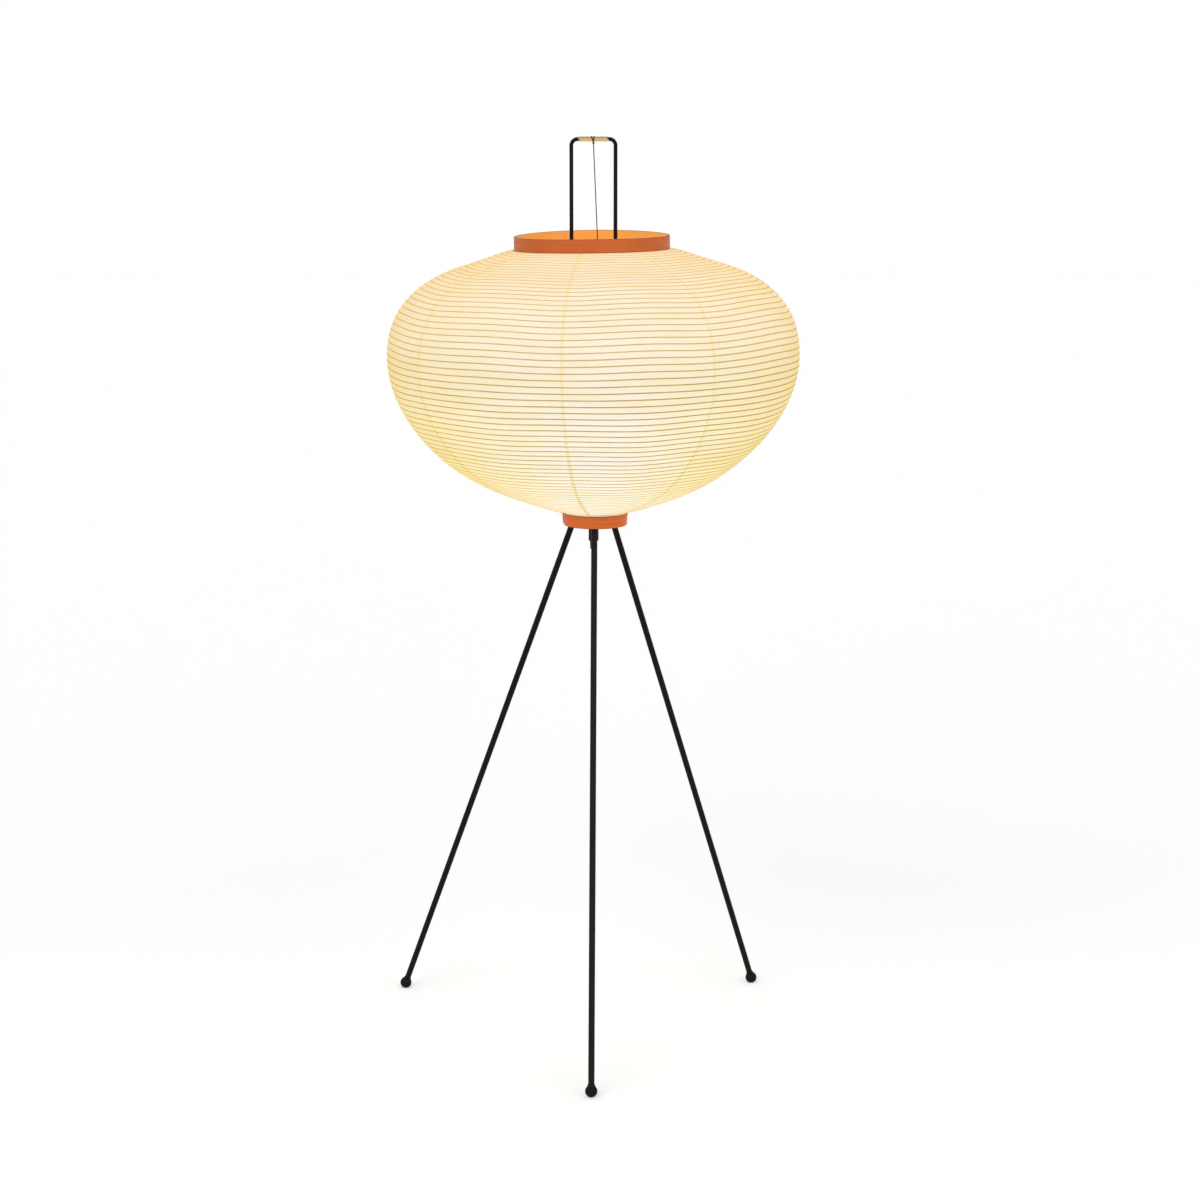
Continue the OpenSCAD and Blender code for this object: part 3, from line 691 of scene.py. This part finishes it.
def paper_gore(index):
    """One gore of paper as a closed thin sheet, ridged at every turn of bamboo."""
    share, half_seams, mask, outside_mm = gore_columns().T
    start, end = SEAMS[index], SEAMS[index + 1]
    line = start + share * (end - start)
    ragged = 0.5 * (1 + waves(RIPPLES, 0.0, line))
    s, off_rib, sag, glue = gore_rows(turns_across(index, share), ragged)

    azimuth = line + half_seams * (SEAM_W / 2 / radius_at(s))
    s_moved = s + wander(s, azimuth)
    depth = sag + dent(s, azimuth) - outside_mm * MM * ease_at_ends(s, LAP_REACH)
    outside = on_skin(s_moved, azimuth, depth)
    inside = on_skin(s_moved, azimuth, depth + PAPER_T)
    loops = np.concatenate([outside, inside[:, ::-1]], axis=1)

    around = (azimuth - (start + end) / 2) * radius_at(s)
    attributes = {
        "flat": np.stack([around, s, np.full_like(s, index * OWN_NOISE)], axis=-1),
        "rib": off_rib,
        "seam": np.broadcast_to(mask, s.shape),
        "high": (outside[..., 2] - SHADE_LOW_Z) / SHADE_H,
        "glue": glue,
        "side": 1 - np.abs(np.sin(azimuth)) ** 6,         # 1 at the lamp's left and right
        "shows": 1 + 0.16 * np.cos(azimuth),              # the bamboo shows darker on the right
    }
    both = {label: np.concatenate([values, values[:, ::-1]], axis=1)
            for label, values in attributes.items()}
    name = GORES[index]
    return make_piece(f"washi_{name}", loops, loft_faces(*loops.shape[:2]), "shade_paper", "stand",
                      [name], both)


def bamboo_spiral():
    """One split of bamboo that winds up the inside of the paper from ring to ring."""
    steps = 90
    off_end = 0.15
    angle = np.linspace(off_end, RIB_TURNS - off_end, steps * RIB_TURNS) * TURN
    s = RIB_PITCH * angle / TURN
    azimuth = SEAMS[START_SEAM] - angle
    middle = PAPER_T + RIB_GAP + RIB_T / 2
    corner = 0.72
    section = [(1, corner), (corner, 1), (-corner, 1), (-1, corner),
               (-1, -corner), (-corner, -1), (corner, -1), (1, -corner)]
    path = s + wander(s, azimuth)
    rings = [on_skin(path + across * RIB_W / 2, azimuth,
                     middle + dent(s, azimuth) + deep * RIB_T / 2) for across, deep in section]
    points = np.stack(rings, axis=1)
    length = np.cumsum(radius_at(s)) * TURN / steps
    flat = along_strip(length, [row * RIB_W / 2 for row in range(len(section))])
    return make_piece("bamboo_spiral", points, loft_faces(*points.shape[:2]), "bamboo", "stand",
                      ["bamboo_ribs"], {"flat": flat})


# ---- Rings of bent wood ----

LOWER_BAND_R = 41 * MM             # outer radius of the lower band at its lower edge
LOWER_WIRE_REACH = 40.4 * MM       # how far from its middle the wires that cross it end, inside its wall
BAND_STEPS = 260             # in a turn
BEVEL = 0.45 * MM            # of a strip's long edges
BEVEL_SHARE = 0.3            # most that it takes of a strip's thickness
TIP = 0.5 * MM               # thickness of a strip's thinned start
LAP_SLACK = 0.05 * MM        # between the start and the end that laps over it
CLIMB = 5 * MM               # length over which the end climbs onto the start
NOSE_RISE = 0.6              # share of the ring's height that a rounded end takes off its corner
# Section of a bent strip: share from its inner to its outer face, bevels added to that, share
# from its lower to its upper edge, bevels added to that, and 1 where the point is on an edge
STRIP_SECTION = [
    (0, 0, 0, 1, 1), (0, 0, 0, 3, 0), (0, 0, 1, -3, 0), (0, 0, 1, -1, 1),
    (0, 1, 1, 0, 1), (1, -1, 1, 0, 1), (1, 0, 1, -1, 1), (1, 0, 1, -3, 0),
    (1, 0, 0, 3, 0), (1, 0, 0, 1, 1), (1, -1, 0, 0, 1), (0, 1, 0, 0, 1),
]


def strip_radii(turn, lap, outer_r, wall, step):
    """Inner and outer radius of a bent strip whose end laps over its thinned start."""
    started = np.clip(turn / lap, 0, 1)
    ended = np.clip((turn - TURN) / lap, 0, 1)
    climb = np.clip((turn - TURN) * outer_r / CLIMB + 1, 0, 1)
    inner = outer_r - wall + climb * (TIP + LAP_SLACK) + ended * (wall - TIP)
    outer = outer_r - (wall - TIP) * (1 - started) + step * climb
    return np.minimum(inner, outer - TIP), outer


def bent_ring(name, node, body, place, outer_r, wall, lap_azimuth, lap, step=0.0, flare=0.0,
              nose=0.0, lit=0.0, pale=0.0):
    """A strip of wood bent to a ring, with a lap that starts at lap_azimuth and is lap radians long.

    Its end stands step proud, and nose is how long the rounded cut at its lower corner is. flare
    is how much wider the ring is at its top, lit how much of the bulb's light falls on its inner
    side, and pale how much paler its lacquer is painted: painted light that makes up for the shadow
    that the shade above casts on it."""
    low_corner, high_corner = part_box(node)
    low_z, high_z = low_corner.z, high_corner.z
    turn = np.linspace(0, TURN + lap, int(BAND_STEPS * (TURN + lap) / TURN))
    azimuth = lap_azimuth + turn
    inner, outer = strip_radii(turn, lap, outer_r, wall, step)
    bevel = np.minimum(BEVEL, (outer - inner) * BEVEL_SHARE)
    low = np.full_like(turn, low_z)
    if nose:
        left = (TURN + lap - turn) * outer_r
        low += NOSE_RISE * (high_z - low_z) * np.clip(1 - left / nose, 0, 1) ** 2

    points, flat, edges, lamp = [], [], [], []
    for across, in_bevels, up, up_bevels, edge in STRIP_SECTION:
        height = low + (high_z - low) * up + up_bevels * BEVEL
        radius = inner + (outer - inner) * across + in_bevels * bevel
        radius = radius + flare * (height - low_z) / (high_z - low_z)
        points.append(place(radius * np.cos(azimuth), radius * np.sin(azimuth), height))
        flat.append(np.stack([turn * outer_r, height, np.full_like(turn, across * 0.1)], axis=-1))
        edges.append(np.full_like(turn, edge))
        inner_face = (1 - across) * (in_bevels == 0)
        lamp.append(lit * inner_face * (1 + 0.12 * np.cos(azimuth)))      # a little more at the right
    points, flat, edges, lamp = (np.stack(part, axis=1) for part in (points, flat, edges, lamp))
    attributes = {"flat": flat, "edge": edges, "lamp": lamp, "pale": np.full_like(edges, pale)}
    return make_piece(name, points, loft_faces(*points.shape[:2]), "lacquered_wood", body, [node],
                      attributes, crease=50)


def upper_band():
    return bent_ring("upper_band", "upper_ring", "upper_ring", hung, outer_r=UPPER_R, wall=3 * MM,
                     lap_azimuth=math.radians(71), lap=0.3, lit=1)


def lower_band():
    # pale paints light onto this ring, which hangs in the shadow of the shade
    return bent_ring("lower_band", "lower_ring", "stand", level, outer_r=LOWER_BAND_R, wall=2.2 * MM,
                     lap_azimuth=math.radians(150), lap=0.6, step=0.9 * MM, flare=1.3 * MM,
                     nose=9 * MM, pale=0.7)


def lower_wires():
    """The two wires that cross the lower ring under the hub plate, ending in its wall."""
    low_corner, high_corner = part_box("lower_cross_wires")
    radius = (high_corner.z - low_corner.z) / 2
    height = (high_corner.z + low_corner.z) / 2
    middle_x = float(level(0, 0, 0)[0])
    points, faces = [], []
    for x in (low_corner.x + radius, high_corner.x - radius):
        half = math.sqrt(LOWER_WIRE_REACH ** 2 - (abs(x - middle_x) + radius) ** 2)
        path = [(x, half * share, height) for share in np.linspace(-1, 1, 24)]
        first = sum(len(part) for part in points)
        wire_points, wire_faces = sweep(path, radius, sides=16)
        faces += [tuple(first + corner for corner in face) for face in wire_faces]
        points.append(wire_points)
    return make_piece("lower_wires", np.concatenate(points), faces, "spring_wire", "stand",
                      ["lower_cross_wires"])


def upper_wire():
    """The wire across the upper ring that the hook of the hanger holds."""
    path = [(CROSS_X, y, CROSS_Z) for y in np.linspace(CROSS_LOW.y, CROSS_HIGH.y, 24)]
    points, faces = sweep(path, CROSS_R, sides=16)
    return make_piece("upper_wire", points, faces, "spring_wire", "upper_ring", ["upper_cross_wire"])


# ---- Handle ----

CANE_INNER_R = WIRE_R + 0.1 * MM
CANE_SHARE = 0.7             # of the CAD strip's thickness that is left when it is pulled tight
CANE_R = CANE_INNER_R + CANE_SHARE * (CANE_HIGH.z - BAR_Z - CANE_INNER_R)
CANE_TURNS = 24
# Section of the strip: half widths from its middle, share of its thickness, and 1 at its edges
CANE_SECTION = [(-1, 0, 1), (-1, 0.5, 1), (-0.8, 0.86, 0.6), (-0.35, 1, 0), (0.35, 1, 0),
                (0.8, 0.86, 0.6), (1, 0.5, 1), (1, 0, 1)]


def cane_winding():
    """A flat strip of cane wound round the bar of the handle, turn beside turn."""
    steps = 48
    pitch = (CANE_HIGH.x - CANE_LOW.x) / CANE_TURNS
    half = 0.49 * pitch                   # half its width, with a fine gap to the next turn
    angle = np.linspace(0, CANE_TURNS - 1, (CANE_TURNS - 1) * steps) * TURN
    middle = CANE_LOW.x + pitch / 2 + pitch * angle / TURN
    uneven = 1 - 0.08 * (1 + np.sin(0.37 * angle)) / 2
    rings = []
    for across, out, _ in CANE_SECTION:
        radius = CANE_INNER_R + out * (CANE_R - CANE_INNER_R) * uneven
        rings.append(np.stack([middle + across * half, -radius * np.cos(angle),
                               BAR_Z + radius * np.sin(angle)], axis=-1))
    points = np.stack(rings, axis=1)
    attributes = {
        "flat": along_strip(angle * CANE_R, [across * half for across, _, _ in CANE_SECTION]),
        "edge": np.stack([np.full_like(angle, edge) for _, _, edge in CANE_SECTION], axis=1),
        # how far a point faces down, for the painted light from the shade below
        "under": np.stack([(1 - np.sin(angle)) / 2] * len(CANE_SECTION), axis=1),
    }
    return make_piece("cane_winding", points, loft_faces(*points.shape[:2]), "cane", "stand",
                      ["cane_wrap"], attributes, crease=60)


HANGER_R = 0.64 * MM                      # half the thickness of the hanger's wire
LOOP_R = CANE_R + 0.3 * HANGER_R          # its loops sink a little into the cane
LOOPS_X = (-2.7 * MM, 0.8 * MM)           # where the two loops cross the top of the bar
KNOT = np.array([0.0, 0.0, BAR_Z - LOOP_R - 0.4 * MM])
COIL_R = 2.05 * HANGER_R
COIL_START, COIL_H = 1.9 * MM, 1.4 * MM   # how far down the shank the coil starts, and its height
HOOK_R = 2.45 * MM
HOOK_Z = CROSS_Z + 0.2 * MM               # height of the middle of the hook's bend
SHANK_END = np.array([CROSS_X + HOOK_R, 0.0, HOOK_Z])


def coiled_end():
    """The wire's free end, wound once round the shank up to the knot."""
    down = (SHANK_END - KNOT) / np.linalg.norm(SHANK_END - KNOT)
    side = np.array([0.0, 1.0, 0.0])
    third = np.cross(down, side)
    for angle in np.linspace(0, TURN, 14):
        middle = KNOT + down * (COIL_START - COIL_H * angle / TURN)
        yield middle + COIL_R * (math.cos(angle) * side + math.sin(angle) * third)


def loop_over_bar(top_x):
    """One loop from the knot over the bar and back, standing a little off the bar at the knot."""
    gap = 0.25                            # angle that it leaves open on both sides of the knot
    slack = 1.0 * MM
    for angle in np.linspace(gap, TURN - gap, 40):
        share = math.sin(angle / 2) ** 2
        reach = LOOP_R + slack * (1 - share) ** 6
        yield np.array([KNOT[0] + (top_x - KNOT[0]) * share, -reach * math.sin(angle),
                        BAR_Z - reach * math.cos(angle)])


def shank_and_hook():
    """The wire from the knot down to the hook round the cross wire, and the hook's short end."""
    for share in np.linspace(0.004, 1, 60):
        yield KNOT + (SHANK_END - KNOT) * share
    for angle in np.linspace(0.2, math.pi, 16):
        yield np.array([CROSS_X + HOOK_R * math.cos(angle), 0, HOOK_Z - HOOK_R * math.sin(angle)])
    yield np.array([CROSS_X - HOOK_R, 0, HOOK_Z + 0.8 * MM])


def hanger():
    """The thin wire: its coiled end, two loops over the bar, the shank and the hook."""
    loops = [point for top_x in LOOPS_X for point in loop_over_bar(top_x)]
    path = [*coiled_end(), *loops, *shank_and_hook()]
    points, faces = sweep(path, HANGER_R, sides=10)
    return make_piece("hanger", points, faces, "spring_wire", "hanger", ["hanger_wire"])


# ---- Studio ----

WHITE = (1, 1, 1, 1)
AMBIENT = 0.5                # strength of the surround as a light. As a background it is 1
FLOOR_RADIUS = 14
FLOOR_TONE = (0.86, 0.86, 0.86, 1)
FLOOR_LIFT = 0.3             # glow that makes the floor white as a background
# Name, strength, degrees to the right of the front, degrees above the horizon, softness in degrees
LAMPS = [("key", 1.0, -32, 35, 50), ("fill", 0.85, 36, 28, 60)]


def camera():
    """The photograph's viewpoint: a little above the shade, looking slightly down."""
    distance, height = 3.4646, 1.2698
    down, right = math.radians(11.24), 0.0024
    data = bpy.data.cameras.new("camera")
    data.sensor_width = 36
    data.lens = 81.0
    data.clip_end = 100
    eye = bpy.data.objects.new("camera", data)
    eye.location = (0, -distance, height)
    eye.rotation_euler = (math.pi / 2 - down, 0, -right)
    bpy.context.scene.collection.objects.link(eye)
    bpy.context.scene.camera = eye


def background_rays(tree):
    """1 for rays that see the background: from the camera, or by reflection or through glass."""
    light_path = tree.nodes.new("ShaderNodeLightPath")
    total = light_path.outputs["Is Camera Ray"]
    for name in ("Is Glossy Ray", "Is Transmission Ray"):
        either = tree.nodes.new("ShaderNodeMath")
        either.operation = "MAXIMUM"
        tree.links.new(total, either.inputs[0])
        tree.links.new(light_path.outputs[name], either.inputs[1])
        total = either.outputs["Value"]
    return total


def by_background(tree, socket, otherwise, background):
    """Feeds a socket with one value for background rays, and with another for all others."""
    node = tree.nodes.new("ShaderNodeMapRange")
    node.inputs["To Min"].default_value = otherwise
    node.inputs["To Max"].default_value = background
    tree.links.new(background_rays(tree), node.inputs["Value"])
    tree.links.new(node.outputs["Result"], socket)


def surround():
    """A white world all round."""
    world = bpy.data.worlds.new("studio")
    world.use_nodes = True
    bpy.context.scene.world = world
    background = world.node_tree.nodes["Background"]
    background.inputs["Color"].default_value = WHITE
    by_background(world.node_tree, background.inputs["Strength"], AMBIENT, 1)


def floor():
    """A round pale floor that runs into the surround."""
    bpy.ops.mesh.primitive_circle_add(vertices=96, radius=FLOOR_RADIUS, fill_type="NGON")
    disc = bpy.context.object
    disc.name = "floor"
    pale = bpy.data.materials.new("floor")
    pale.use_nodes = True
    shader = pale.node_tree.nodes["Principled BSDF"]
    shader.inputs["Base Color"].default_value = FLOOR_TONE
    shader.inputs["Roughness"].default_value = 0.9
    shader.inputs["Specular IOR Level"].default_value = 0
    shader.inputs["Emission Color"].default_value = WHITE
    by_background(pale.node_tree, shader.inputs["Emission Strength"], 0, FLOOR_LIFT)
    disc.data.materials.append(pale)


def lamps():
    """Two soft suns from the front."""
    for name, strength, azimuth, elevation, spread in LAMPS:
        data = bpy.data.lights.new(name, "SUN")
        data.energy = strength
        data.angle = math.radians(spread)
        lamp = bpy.data.objects.new(name, data)
        lamp.rotation_euler = (math.pi / 2 - math.radians(elevation), 0, math.radians(azimuth))
        bpy.context.scene.collection.objects.link(lamp)


# ---- The lamp ----

finish_cad_nodes()
skin = [paper_gore(index) for index in range(GORE_COUNT)] + [bamboo_spiral()]
for piece in skin:
    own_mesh(piece)
upper_band()
lower_band()
lower_wires()
upper_wire()
cane_winding()
hanger()
surround()
floor()
lamps()
camera()
bpy.context.scene.view_settings.view_transform = "Standard"
